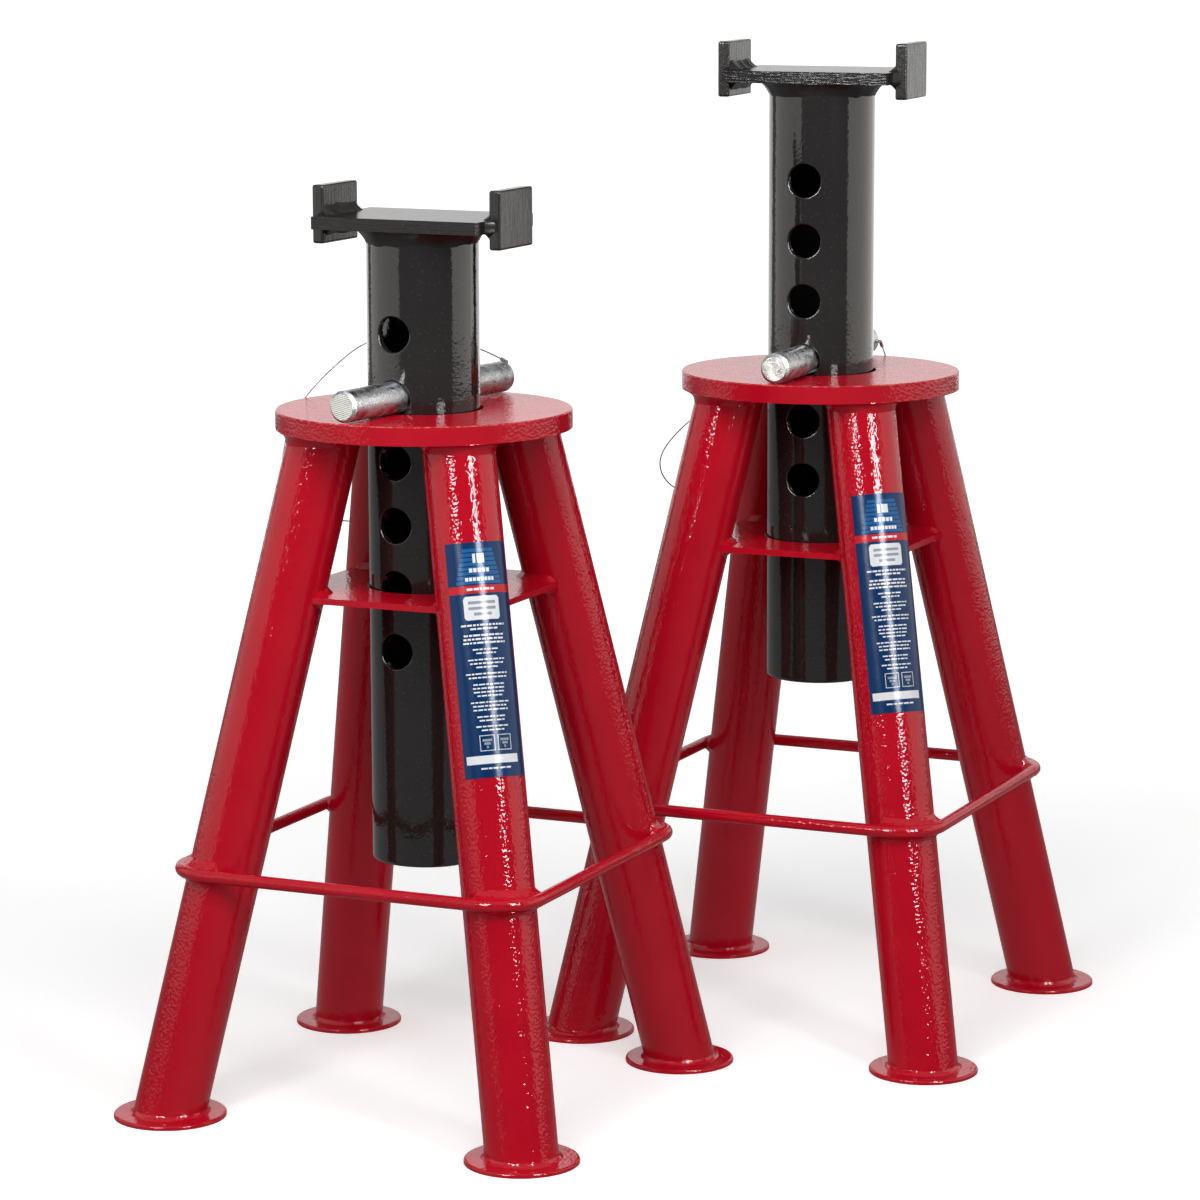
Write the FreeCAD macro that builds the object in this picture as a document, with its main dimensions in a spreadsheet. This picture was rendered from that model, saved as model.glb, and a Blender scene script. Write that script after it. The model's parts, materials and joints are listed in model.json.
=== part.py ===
import FreeCAD, Part
import math
import os
import Sketcher

# A pair of heavy pin-type axle stands: two equal stands in one row, A on the left and B on the
# right. Each is a four-legged welded frame, a drilled post with a saddle that slides up and down
# through it, and a loose steel pin on a wire lanyard that locks the post at one of six holes.
# Millimetres, +Z up. The origin is on the floor, midway between the two stands.

DIMENSIONS = {
    # The row of two stands.
    "row_offset_x": 195.5,      # half the distance between the two stand axes along X
    "row_offset_y": 57.5,       # and along Y
    # Welded frame.
    "plate_diameter": 234,
    "plate_thickness": 15,
    "plate_underside": 538,     # height of the top plate's underside above the floor
    "plate_edge": 1,            # broken edge round the top plate
    "bore_diameter": 94,        # the post's hole in the top plate and in the guide plate
    "leg_diameter": 57,
    "leg_wall": 4,
    "leg_top_reach": 81,        # from the stand's axis to a leg's axis, at the top plate
    "leg_floor_reach": 218,     # and at the floor
    "foot_diameter": 89,
    "foot_thickness": 3.5,
    "foot_edge": 2,             # radius of the foot's rounded upper rim
    "foot_reach": 217,
    "guide_half_diagonal": 128.5,
    "guide_thickness": 5,
    "guide_top": 412,
    "ring_bar": 10,
    "ring_height": 197,
    "ring_bend": 35,            # bend radius of the bar's centre line round each leg
    "label_height": 180,
    "label_arc": 112,           # degrees of the leg that the label wraps
    "label_thickness": 0.3,
    "label_start": 293,         # along the leg from the floor to the label's lower edge
    # Post with its saddle.
    "post_diameter": 88.9,
    "post_wall": 5,
    "post_length": 503,
    "hole_diameter": 28,
    "hole_count": 6,
    "hole_pitch": 50,
    "hole_drop": 80,            # from the post's upper end down to its first hole
    "hole_edge": 1,             # radius of each hole's rounded outer edge
    "post_edge": 3,             # radius of the rounded edge at the post's lower end
    "saddle_length": 144.5,
    "saddle_depth": 100,
    "saddle_thickness": 10,
    "ear_thickness": 10,
    "ear_depth": 58,
    "ear_height": 46,
    "ear_drop": 13,             # how far the ears hang below the saddle plate
    "ear_edge": 2,
    "saddle_edge": 1,
    # Locking pin and its lanyard.
    "pin_diameter": 25,
    "pin_length": 230,
    "pin_chamfer": 2.5,
    "pin_clearance": 0.3,       # under the pin, and between the pin and the top of its hole
    "eye_diameter": 3.2,        # the lanyard's hole across the pin's rear end
    "eye_inset": 8,
    "wire_diameter": 1.2,
    "sleeve_diameter": 3,
    "sleeve_length": 6,
    "stem_depth": 4,            # how far the pin's crimp reaches into its eye
    "lug_thickness": 3,
    "lug_depth": 15,
    "lug_height": 14,
    "lug_bore": 4,
    "lug_level": 441,
    "lug_reach": 144.5,         # from the stand's axis to the lug's bore
    # How each stand is set: turns in degrees about the post's own axis.
    "a_pinned_hole": 2,
    "a_pin_turn": -52,
    "a_saddle_turn": 6,         # the saddle is welded on a little askew from the holes
    "a_pin_front": 114,         # how far the pin's front end stands out from the post's axis
    "a_pin_spin": 35,
    "b_pinned_hole": 4,
    "b_pin_turn": -43.5,
    "b_saddle_turn": 1.5,
    "b_pin_front": 113,
    "b_pin_spin": 90,
}

# The lanyard's route on each stand, from the pin to the lug on the back leg, in millimetres
# from the stand's own axis. The first list belongs to the part that follows the pin, the
# second to the part that stays with the frame, and they meet end to end.
LANYARD_ROUTES = {
    "a": {
        "upper": [(87, 63.5, 580.9), (76, 76, 588), (48, 92, 596), (16, 97, 598.5)],
        "lower": [(16, 97, 598.5), (-9.6, 101, 600.5), (-50, 100, 571), (-77, 97, 543),
                  (-91, 91, 508), (-86, 93, 472), (-60, 110, 455), (-30, 130, 446),
                  (-7.5, 141.5, 441.8)],
    },
    "b": {
        "upper": [(89.4, 70.6, 561.2), (97, 77, 549), (108, 92, 527), (96, 113, 510)],
        "lower": [(96, 113, 510), (84, 134, 493), (38, 147, 497), (-6, 147, 499),
                  (-48, 134, 505), (-80, 104, 499), (-110, 91, 476), (-109, 90, 455),
                  (-84, 99, 437), (-56, 115, 431), (-30, 131, 436), (-7.5, 141.5, 440.5)],
    },
}

LEG_AZIMUTHS = {"front": -90, "right": 0, "back": 90, "left": 180}
UP = FreeCAD.Vector(0, 0, 1)
CLOSE = 0.01                    # mm, within which two sizes count as the same

doc = FreeCAD.newDocument("axle_stands")
sheet = doc.addObject("Spreadsheet::Sheet", "sizes")
for row, (alias, value) in enumerate(DIMENSIONS.items(), start=1):
    sheet.set(f"A{row}", alias)
    sheet.set(f"B{row}", str(value))
    sheet.setAlias(f"B{row}", alias)
doc.recompute()

sub_parts = {}


def size(alias):
    """A driving dimension, read back from the sheet."""
    return float(sheet.get(alias))


def bind(item, **formulas):
    """Bind properties of a feature to formulas of the sheet's cells."""
    for name, formula in formulas.items():
        item.setExpression(name, formula)
    return item


def cells(formula):
    """A formula in which each dimension's name becomes a reference to its cell."""
    for alias in sorted(DIMENSIONS, key=len, reverse=True):
        formula = formula.replace(alias, "\0" + alias.replace("_", "\1"))
    return formula.replace("\0", "sizes.").replace("\1", "_")


def primitive(kind, name, place=None, **formulas):
    """A Part primitive whose sizes follow the sheet."""
    item = doc.addObject(f"Part::{kind}", name)
    bind(item, **{prop: cells(formula) for prop, formula in formulas.items()})
    if place is not None:
        item.Placement = place
    return item


def boolean(kind, name, base, tool):
    item = doc.addObject(f"Part::{kind}", name)
    item.Base = base
    item.Tool = tool
    return item


def turned(azimuth, origin=(0, 0, 0)):
    """A placement turned about the vertical."""
    return FreeCAD.Placement(FreeCAD.Vector(*origin), FreeCAD.Rotation(UP, azimuth))


def publish(name, item, place):
    """Name a finished sub-part and carry it to its place."""
    item.Label = name
    item.Placement = place * item.Placement
    sub_parts[name] = item
    return item


def new_body(name):
    return doc.addObject("PartDesign::Body", name)


def sketch_on(body, role, name):
    """A sketch on one of the body's own origin planes."""
    plane = [item for item in body.Origin.OriginFeatures if item.Role == role][0]
    sketch = body.newObject("Sketcher::SketchObject", name)
    sketch.AttachmentSupport = [(plane, "")]
    sketch.MapMode = "FlatFace"
    return sketch


def drive(sketch, constraint, formula):
    """Add a constraint whose value follows the sheet."""
    number = sketch.addConstraint(constraint)
    sketch.setExpression(f"Constraints[{number}]", cells(formula))


def circle_in(sketch, diameter, height=None):
    """A circle centred on the sketch's origin, or at a height straight above it."""
    index = sketch.addGeometry(Part.Circle(FreeCAD.Vector(0, 1, 0), UP, 10), False)
    drive(sketch, Sketcher.Constraint("Diameter", index, 20), diameter)
    if height is None:
        sketch.addConstraint(Sketcher.Constraint("Coincident", index, 3, -1, 1))
    else:
        sketch.addConstraint(Sketcher.Constraint("PointOnObject", index, 3, -2))
        drive(sketch, Sketcher.Constraint("DistanceY", -1, 1, index, 3, 1), height)
    return index


def rectangle_in(sketch, length, width):
    """A rectangle centred on the sketch's origin."""
    corners = [FreeCAD.Vector(x, y, 0) for x, y in ((-9, -7), (9, -7), (9, 7), (-9, 7))]
    for i in range(4):
        sketch.addGeometry(Part.LineSegment(corners[i], corners[(i + 1) % 4]), False)
    for i in range(4):
        sketch.addConstraint(Sketcher.Constraint("Coincident", i, 2, (i + 1) % 4, 1))
    for i, direction in enumerate(("Horizontal", "Vertical", "Horizontal", "Vertical")):
        sketch.addConstraint(Sketcher.Constraint(direction, i))
    sketch.addConstraint(Sketcher.Constraint("Symmetric", 0, 1, 1, 2, -1, 1))
    drive(sketch, Sketcher.Constraint("DistanceX", 0, 1, 0, 2, 18), length)
    drive(sketch, Sketcher.Constraint("DistanceY", 1, 1, 1, 2, 14), width)


def pad(body, sketch, length):
    item = body.newObject("PartDesign::Pad", f"{body.Name}_pad")
    item.Profile = sketch
    bind(item, Length=cells(length))
    doc.recompute()
    return item


def edges(item, wanted):
    """Names of the edges of a feature for which wanted(edge) is true."""
    return [f"Edge{i}" for i, edge in enumerate(item.Shape.Edges, start=1) if wanted(edge)]


def dress(body, kind, wanted, amount):
    """A fillet or a chamfer on chosen edges of the body's last feature."""
    base = body.Tip
    item = body.newObject(f"PartDesign::{kind}", f"{body.Name}_{kind.lower()}")
    item.Base = (base, edges(base, wanted))
    bind(item, **{"Radius" if kind == "Fillet" else "Size": cells(amount)})
    doc.recompute()
    return item


def is_outer_rim(edge, radius):
    return isinstance(edge.Curve, Part.Circle) and abs(edge.Curve.Radius - radius) < CLOSE


# ---- the welded frame -------------------------------------------------------------------

def leg_reach(height):
    """Distance from the stand's axis to a leg's axis at a height above the floor."""
    run = size("leg_floor_reach") - size("leg_top_reach")
    return size("leg_floor_reach") - run * height / size("plate_underside")


LEG_RUN = "(leg_floor_reach - leg_top_reach)"
LEG_SLANT = f"sqrt({LEG_RUN}^2 + plate_underside^2)"


def leg_axis_place(past=0.0):
    """Placement of a leg's axis for the leg that points along +X, started below the floor."""
    tilt = math.atan2(size("leg_floor_reach") - size("leg_top_reach"), size("plate_underside"))
    base = FreeCAD.Vector(leg_reach(0), 0, 0)
    along = FreeCAD.Vector(-math.sin(tilt), 0, math.cos(tilt))
    rotation = FreeCAD.Rotation(FreeCAD.Vector(0, 1, 0), -math.degrees(tilt))
    return FreeCAD.Placement(base - along * past, rotation)


def leg_envelope(name):
    """A solid bar of a leg's outer size, past both of its ends."""
    past = size("leg_diameter")
    return primitive("Cylinder", name, leg_axis_place(past),
                     Radius="leg_diameter / 2", Height=f"{LEG_SLANT} + 2 * leg_diameter")


def make_leg(name, place):
    outer = leg_envelope(f"{name}_outer")
    inner = primitive("Cylinder", f"{name}_inner", leg_axis_place(size("leg_diameter")),
                      Radius="leg_diameter / 2 - leg_wall",
                      Height=f"{LEG_SLANT} + 2 * leg_diameter")
    slab = primitive("Box", f"{name}_slab", Length="2 * leg_floor_reach",
                     Width="2 * leg_diameter", Height="plate_underside - foot_thickness")
    slab.Placement.Base = FreeCAD.Vector(0, -size("leg_diameter"), size("foot_thickness"))
    tube = boolean("Cut", f"{name}_tube", outer, inner)
    return publish(name, boolean("Common", f"{name}_cut", tube, slab), place)


def make_disc(name, place, diameter, thickness, bore=None, edge=None, kind="Chamfer"):
    """A round plate with a dressed upper rim, and a bore where one is given."""
    body = new_body(name)
    sketch = sketch_on(body, "XY_Plane", f"{name}_outline")
    circle_in(sketch, diameter)
    if bore is not None:
        circle_in(sketch, bore)
    pad(body, sketch, thickness)
    radius = size(diameter) / 2
    dress(body, kind, lambda rim: is_outer_rim(rim, radius) and rim.CenterOfMass.z > 1, edge)
    return publish(name, body, place)


def make_guide_plate(name, place):
    """A square plate with its corners coped round the legs and a bore for the post."""
    plate = primitive("Box", f"{name}_square", Length="sqrt(2) * guide_half_diagonal",
                      Width="sqrt(2) * guide_half_diagonal", Height="guide_thickness")
    level = size("guide_top") - size("guide_thickness")
    plate.Placement = turned(45, (0, -size("guide_half_diagonal"), level))
    bore = primitive("Cylinder", f"{name}_bore", Radius="bore_diameter / 2", Height="guide_top")
    tools = [bore]
    for side, azimuth in LEG_AZIMUTHS.items():
        tool = leg_envelope(f"{name}_cope_{side}")
        tool.Placement = turned(azimuth) * tool.Placement
        tools.append(tool)
    cutter = doc.addObject("Part::MultiFuse", f"{name}_cutter")
    cutter.Shapes = tools
    return publish(name, boolean("Cut", f"{name}_cut", plate, cutter), place)


def make_brace_ring(name, place):
    """A round bar bent round the outside of the four legs."""
    height = size("ring_height")
    reach = leg_reach(height)
    side_length = f"sqrt(2) * (leg_floor_reach - {LEG_RUN} * ring_height / plate_underside)"
    pieces = []
    for side, azimuth in LEG_AZIMUTHS.items():
        bend = primitive("Torus", f"{name}_bend_{side}", Radius1="ring_bend",
                         Radius2="ring_bar / 2", Angle3="90")
        bend.Placement = turned(azimuth) * turned(-45, (reach, 0, height))
        bar = primitive("Cylinder", f"{name}_bar_{side}", Radius="ring_bar / 2",
                        Height=side_length)
        start = FreeCAD.Vector(reach, 0, 0)
        outward = FreeCAD.Vector(math.sqrt(0.5), math.sqrt(0.5), 0)
        lie_down = FreeCAD.Rotation(UP, FreeCAD.Vector(-1, 1, 0))
        bar.Placement = turned(azimuth) * FreeCAD.Placement(
            start + outward * size("ring_bend") + UP * height, lie_down)
        pieces += [bend, bar]
    ring = doc.addObject("Part::MultiFuse", f"{name}_ring")
    ring.Shapes = pieces
    return publish(name, ring, place)


def make_label(name, place):
    """A thin label wrapped round the outside of the front leg."""
    start = leg_axis_place()
    lift = size("label_start")
    turn = FreeCAD.Rotation(UP, -size("label_arc") / 2)
    start = start * FreeCAD.Placement(FreeCAD.Vector(0, 0, lift), turn)
    skin = primitive("Cylinder", f"{name}_skin", start, Angle="label_arc",
                     Radius="leg_diameter / 2 + label_thickness", Height="label_height")
    core = primitive("Cylinder", f"{name}_core", start, Radius="leg_diameter / 2",
                     Height="label_height")
    return publish(name, boolean("Cut", f"{name}_cut", skin, core), place)


def make_lug(name, place):
    """A small drilled lug on the outer side of the back leg, where the lanyard ends."""
    plate = primitive("Box", f"{name}_plate", Length="2 * lug_depth", Width="lug_thickness",
                      Height="lug_height")
    reach = leg_reach(size("lug_level")) + size("leg_diameter") / 2
    plate.Placement.Base = FreeCAD.Vector(reach - size("lug_depth"), -size("lug_thickness") / 2,
                                          size("lug_level") - size("lug_height") / 2)
    bore = primitive("Cylinder", f"{name}_bore", Radius="lug_bore / 2",
                     Height="4 * lug_thickness")
    sideways = FreeCAD.Rotation(FreeCAD.Vector(1, 0, 0), 90)
    bore.Placement = FreeCAD.Placement(
        FreeCAD.Vector(size("lug_reach"), 2 * size("lug_thickness"), size("lug_level")), sideways)
    cutter = doc.addObject("Part::MultiFuse", f"{name}_cutter")
    cutter.Shapes = [bore, leg_envelope(f"{name}_leg")]
    return publish(name, boolean("Cut", f"{name}_cut", plate, cutter), place)


# ---- the post ---------------------------------------------------------------------------

def make_post(name, place):
    """A drilled tube. Its lower end is at the body's origin and its holes run along Y."""
    body = new_body(name)
    ring = sketch_on(body, "XY_Plane", f"{name}_ring")
    circle_in(ring, "post_diameter")
    circle_in(ring, "post_diameter - 2 * post_wall")
    tube = pad(body, ring, "post_length")
    hole = sketch_on(body, "XZ_Plane", f"{name}_hole")
    circle_in(hole, "hole_diameter",
              "post_length - hole_drop - hole_pitch * (hole_count - 1)")
    drill = body.newObject("PartDesign::Pocket", f"{name}_drill")
    drill.Profile = hole
    drill.Type = "ThroughAll"
    drill.Midplane = True
    doc.recompute()
    row = body.newObject("PartDesign::LinearPattern", f"{name}_row")
    row.Originals = [drill]
    axis = [item for item in body.Origin.OriginFeatures if item.Role == "Z_Axis"][0]
    row.Direction = (axis, [""])
    bind(row, Length=cells("hole_pitch * (hole_count - 1)"), Occurrences=cells("hole_count"))
    body.Tip = row
    doc.recompute()
    if not body.Shape.Volume < drill.Shape.Volume < tube.Shape.Volume:
        raise RuntimeError(f"{name}: the holes didn't cut")
    radius = size("post_diameter") / 2

    def is_hole_edge(edge):
        start = edge.Vertexes[0].Point
        outside = abs(math.hypot(start.x, start.y) - radius) < CLOSE
        return outside and not isinstance(edge.Curve, (Part.Circle, Part.Line))

    def is_lower_rim(edge):
        return is_outer_rim(edge, radius) and abs(edge.CenterOfMass.z) < CLOSE

    dress(body, "Fillet", is_hole_edge, "hole_edge")
    rounded = dress(body, "Fillet", is_lower_rim, "post_edge")
    if not rounded.Shape.Volume < row.Shape.Volume:
        raise RuntimeError(f"{name}: its edges weren't rounded")
    return publish(name, body, place)


def make_block(name, place, length, width, height, edge, wanted=lambda edge: True, kind="Fillet"):
    """A rectangular block, centred on its lower face, with dressed edges."""
    body = new_body(name)
    outline = sketch_on(body, "XY_Plane", f"{name}_outline")
    rectangle_in(outline, length, width)
    pad(body, outline, height)
    dress(body, kind, wanted, edge)
    return publish(name, body, place)


# ---- the pin and its lanyard ------------------------------------------------------------

def make_pin(name, place):
    """A chamfered pin along its own Z, with a blind eye near the far end for the lanyard."""
    body = new_body(name)
    section = sketch_on(body, "XY_Plane", f"{name}_section")
    circle_in(section, "pin_diameter")
    pad(body, section, "pin_length")
    radius = size("pin_diameter") / 2
    ends = dress(body, "Chamfer", lambda rim: is_outer_rim(rim, radius), "pin_chamfer")
    eye = sketch_on(body, "XZ_Plane", f"{name}_eye")
    circle_in(eye, "eye_diameter", "pin_length - eye_inset")
    drill = body.newObject("PartDesign::Pocket", f"{name}_drill")
    drill.Profile = eye
    drill.Reversed = True
    bind(drill, Length=cells("pin_diameter"))
    doc.recompute()
    probe = FreeCAD.Vector(0, 1 - radius, size("pin_length") - size("eye_inset"))
    if body.Shape.isInside(probe, CLOSE, True) or not body.Shape.Volume < ends.Shape.Volume:
        raise RuntimeError(f"{name}: the eye didn't cut on its own side")
    return publish(name, body, place)


def sleeve(name, start, toward):
    """A crimped sleeve that reaches from start in a direction."""
    rotation = FreeCAD.Rotation(UP, toward)
    return primitive("Cylinder", name, FreeCAD.Placement(start, rotation),
                     Radius="sleeve_diameter / 2", Height="sleeve_length")


def make_wire(name, place, points):
    """The lanyard's wire: straight runs joined by tangent arcs, as large as the runs allow."""
    route = [FreeCAD.Vector(*point) for point in points]
    path = []
    length = 0.0
    radii = []
    begin = route[0]
    for before, corner, after in zip(route, route[1:], route[2:]):
        back = before - corner
        ahead = after - corner
        shorter = min(back.Length, ahead.Length)
        back.normalize()
        ahead.normalize()
        half_turn = (math.pi - back.getAngle(ahead)) / 2
        cut = 0.45 * shorter
        radius = cut / math.tan(half_turn)
        start = corner + back * cut
        end = corner + ahead * cut
        sag = radius * (1 / math.cos(half_turn) - 1)
        middle = corner + (back + ahead).normalize() * sag
        path.append(Part.LineSegment(begin, start).toShape())
        path.append(Part.Arc(start, middle, end).toShape())
        length += begin.distanceToPoint(start) + 2 * half_turn * radius
        radii.append(radius)
        begin = end
    path.append(Part.LineSegment(begin, route[-1]).toShape())
    length += begin.distanceToPoint(route[-1])
    radius = size("wire_diameter") / 2
    section = Part.Circle(route[0], route[1] - route[0], radius).toShape()
    solid = Part.Wire(path).makePipeShell([Part.Wire([section])], True, False)
    expected = math.pi * radius ** 2 * length
    if abs(solid.Volume / expected - 1) > 0.02:
        raise RuntimeError(f"{name}: volume {solid.Volume:.1f}, expected {expected:.1f}")
    listed = ", ".join(f"{value:.0f}" for value in radii)
    print(f"{name}: {length:.0f} mm long, bend radii {listed} mm")
    item = doc.addObject("Part::Feature", name)
    item.Shape = solid
    return publish(name, item, place)


# ---- one stand --------------------------------------------------------------------------

def make_stand(letter, sign):
    """Build every sub-part of one stand, with the stand's letter after each name."""
    centre = (sign * size("row_offset_x"), sign * size("row_offset_y"), 0)

    def at(height=0.0, azimuth=0.0, reach=0.0):
        """A place in the stand: a turn about its axis, then out along that azimuth and up."""
        inward = FreeCAD.Placement(FreeCAD.Vector(reach, 0, height), FreeCAD.Rotation())
        return turned(azimuth, centre) * inward

    def own(name):
        return f"{name}_{letter}"

    def setting(name):
        return size(f"{letter}_{name}")

    make_disc(own("top_plate"), at(size("plate_underside")), "plate_diameter",
              "plate_thickness", "bore_diameter", "plate_edge")
    for side, azimuth in LEG_AZIMUTHS.items():
        make_leg(own(f"leg_{side}"), at(azimuth=azimuth))
        make_disc(own(f"foot_{side}"), at(0, azimuth, size("foot_reach")), "foot_diameter",
                  "foot_thickness", edge="foot_edge", kind="Fillet")
    make_guide_plate(own("guide_plate"), at())
    make_brace_ring(own("brace_ring"), at())
    make_label(own("rating_label"), at(azimuth=LEG_AZIMUTHS["front"]))
    make_lug(own("lanyard_lug"), at(azimuth=LEG_AZIMUTHS["back"]))

    turn = setting("pin_turn")
    plate_top = size("plate_underside") + size("plate_thickness")
    clearance = size("pin_clearance")
    pin_level = plate_top + clearance + size("pin_diameter") / 2
    hole_level = pin_level + size("pin_diameter") / 2 + clearance - size("hole_diameter") / 2
    first_hole = hole_level + (setting("pinned_hole") - 1) * size("hole_pitch")
    post_top = first_hole + size("hole_drop")
    make_post(own("post_tube"), at(post_top - size("post_length"), turn))

    saddle_turn = turn + setting("saddle_turn")
    make_block(own("saddle_plate"), at(post_top, saddle_turn), "saddle_length", "saddle_depth",
               "saddle_thickness", "saddle_edge", kind="Chamfer",
               wanted=lambda edge: abs(edge.tangentAt(edge.FirstParameter).z) > 0.9)
    ear_reach = (size("saddle_length") + size("ear_thickness")) / 2
    for side, along in (("left", 180), ("right", 0)):
        make_block(own(f"saddle_ear_{side}"),
                   at(post_top - size("ear_drop"), saddle_turn + along, ear_reach),
                   "ear_thickness", "ear_depth", "ear_height", "ear_edge")

    lie_back = FreeCAD.Rotation(FreeCAD.Vector(1, 0, 0), -90)
    spun = lie_back * FreeCAD.Rotation(UP, setting("pin_spin"))
    pin_start = FreeCAD.Vector(0, -setting("pin_front"), pin_level)
    pin_place = turned(turn, centre) * FreeCAD.Placement(pin_start, spun)
    make_pin(own("locking_pin"), pin_place)

    route = LANYARD_ROUTES[letter]
    for part in ("upper", "lower"):
        make_wire(own(f"lanyard_{part}"), at(), route[part])
    first, second = (FreeCAD.Vector(*point) for point in route["upper"][:2])
    along = (second - first).normalize()
    crimp_start = first - along * size("sleeve_length")
    crimp = sleeve(own("pin_crimp_sleeve"), crimp_start, along)
    eye = FreeCAD.Vector(0, -size("pin_diameter") / 2, size("pin_length") - size("eye_inset"))
    to_stand = FreeCAD.Placement(FreeCAD.Vector(*centre), FreeCAD.Rotation()).inverse()
    mouth = (to_stand * pin_place).multVec(eye)
    inner = (to_stand * pin_place).multVec(eye + FreeCAD.Vector(0, size("stem_depth"), 0))
    stem = primitive("Cylinder", own("pin_crimp_stem"), Radius="wire_diameter")
    stem.Height = (crimp_start - inner).Length
    stem.Placement = FreeCAD.Placement(inner, FreeCAD.Rotation(UP, crimp_start - inner))
    if (mouth - crimp_start).Length > size("sleeve_length"):
        raise RuntimeError(f"the lanyard of stand {letter} starts too far from the pin's eye")
    publish(own("pin_crimp"), boolean("Fuse", own("pin_crimp_fuse"), crimp, stem), at())
    last, before = (FreeCAD.Vector(*point) for point in (route["lower"][-1], route["lower"][-2]))
    publish(own("lug_crimp"), sleeve(own("lug_crimp_sleeve"), last, last - before), at(0))


for letter, sign in (("a", -1), ("b", 1)):
    make_stand(letter, sign)
doc.recompute()

for item in doc.Objects:
    if "Invalid" in item.State or "Error" in item.State:
        raise RuntimeError(f"{item.Label} failed: {item.State}")
for name, item in sub_parts.items():
    shape = item.Shape
    if shape.isNull() or not shape.isValid() or not shape.Solids:
        raise RuntimeError(f"{name} has no valid solid")

os.makedirs("parts", exist_ok=True)
for name, item in sub_parts.items():
    item.Shape.exportStep(f"parts/{name}.step")
print(len(sub_parts), "sub-parts written")
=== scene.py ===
"""The looks of a pair of pin-type axle stands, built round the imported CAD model.

Metres, in the model's own frame: +Z up, stand a on the left (-X) and stand b on the right.
CAD gives every plate, tube and joint. This script adds what CAD leaves plain: the weld beads,
the print on the two labels, the twisted lanyards, and the paint and metal of each surface.
"""
import json
import math
import random

import bmesh
import bpy
from mathutils import Matrix, Vector, noise

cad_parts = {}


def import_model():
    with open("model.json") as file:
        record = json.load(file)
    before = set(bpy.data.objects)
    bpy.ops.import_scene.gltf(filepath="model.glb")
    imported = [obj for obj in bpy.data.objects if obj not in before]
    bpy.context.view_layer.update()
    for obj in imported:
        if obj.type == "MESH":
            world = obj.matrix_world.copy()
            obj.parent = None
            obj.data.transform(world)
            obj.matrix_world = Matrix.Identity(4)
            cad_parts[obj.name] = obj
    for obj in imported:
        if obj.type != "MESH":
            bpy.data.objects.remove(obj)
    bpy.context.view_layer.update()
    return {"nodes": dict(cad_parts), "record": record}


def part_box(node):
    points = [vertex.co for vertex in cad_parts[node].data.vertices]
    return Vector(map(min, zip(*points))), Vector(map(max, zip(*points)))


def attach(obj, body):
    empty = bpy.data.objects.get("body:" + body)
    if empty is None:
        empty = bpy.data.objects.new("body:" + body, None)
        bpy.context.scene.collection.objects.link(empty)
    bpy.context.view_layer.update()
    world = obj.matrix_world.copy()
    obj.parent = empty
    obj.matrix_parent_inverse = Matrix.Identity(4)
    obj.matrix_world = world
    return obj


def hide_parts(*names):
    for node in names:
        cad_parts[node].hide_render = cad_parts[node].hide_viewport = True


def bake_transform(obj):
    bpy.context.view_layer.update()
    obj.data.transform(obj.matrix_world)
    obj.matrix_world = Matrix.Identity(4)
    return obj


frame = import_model()

MM = 0.001
UP = Vector((0, 0, 1))
LETTERS = ("a", "b")
OUTWARD = {"front": Vector((0, -1, 0)), "right": Vector((1, 0, 0)),
           "back": Vector((0, 1, 0)), "left": Vector((-1, 0, 0))}


# ---- what the frame says ------------------------------------------------------------------

def middle(node):
    low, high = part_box(node)
    return (low + high) / 2


def stand_axis(letter):
    """The stand's vertical axis, on the floor."""
    centre = middle(f"post_tube_{letter}")
    return Vector((centre.x, centre.y, 0))


class Leg:
    """A slanted leg's axis, radius and directions, worked out from the box round its tube."""

    def __init__(self, letter, side):
        low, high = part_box(f"leg_{side}_{letter}")
        axis = stand_axis(letter)
        self.out = OUTWARD[side]
        self.across = UP.cross(self.out)
        reach = sorted((corner - axis).dot(self.out) for corner in (low, high))
        wide, tall = reach[1] - reach[0], high.z - low.z
        thick = abs((high - low).dot(self.across))
        self.radius = thick / 2
        self.slant = math.acos(thick / math.hypot(wide, tall)) - math.atan2(tall, wide)
        edge = self.radius / math.cos(self.slant)
        self.along = UP * math.cos(self.slant) - self.out * math.sin(self.slant)
        self.face = self.out * math.cos(self.slant) + UP * math.sin(self.slant)
        foot = axis + self.out * (reach[1] - edge) + UP * low.z
        self.floor = foot - self.along * (low.z / self.along.z)

    def at_height(self, height):
        """The point on the leg's axis at a height above the floor."""
        return self.floor + self.along * (height / self.along.z)

    def radial(self, turn):
        """A direction square to the leg's axis, turned from its outer face."""
        return self.face * math.cos(turn) + self.across * math.sin(turn)

    def skin(self, turn, height):
        """The point on the leg's surface at a turn from its outer face, at a height."""
        start = self.floor + self.radial(turn) * self.radius
        return start + self.along * ((height - start.z) / self.along.z)


LEGS = {(letter, side): Leg(letter, side) for letter in LETTERS for side in OUTWARD}


# ---- materials ----------------------------------------------------------------------------

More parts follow.
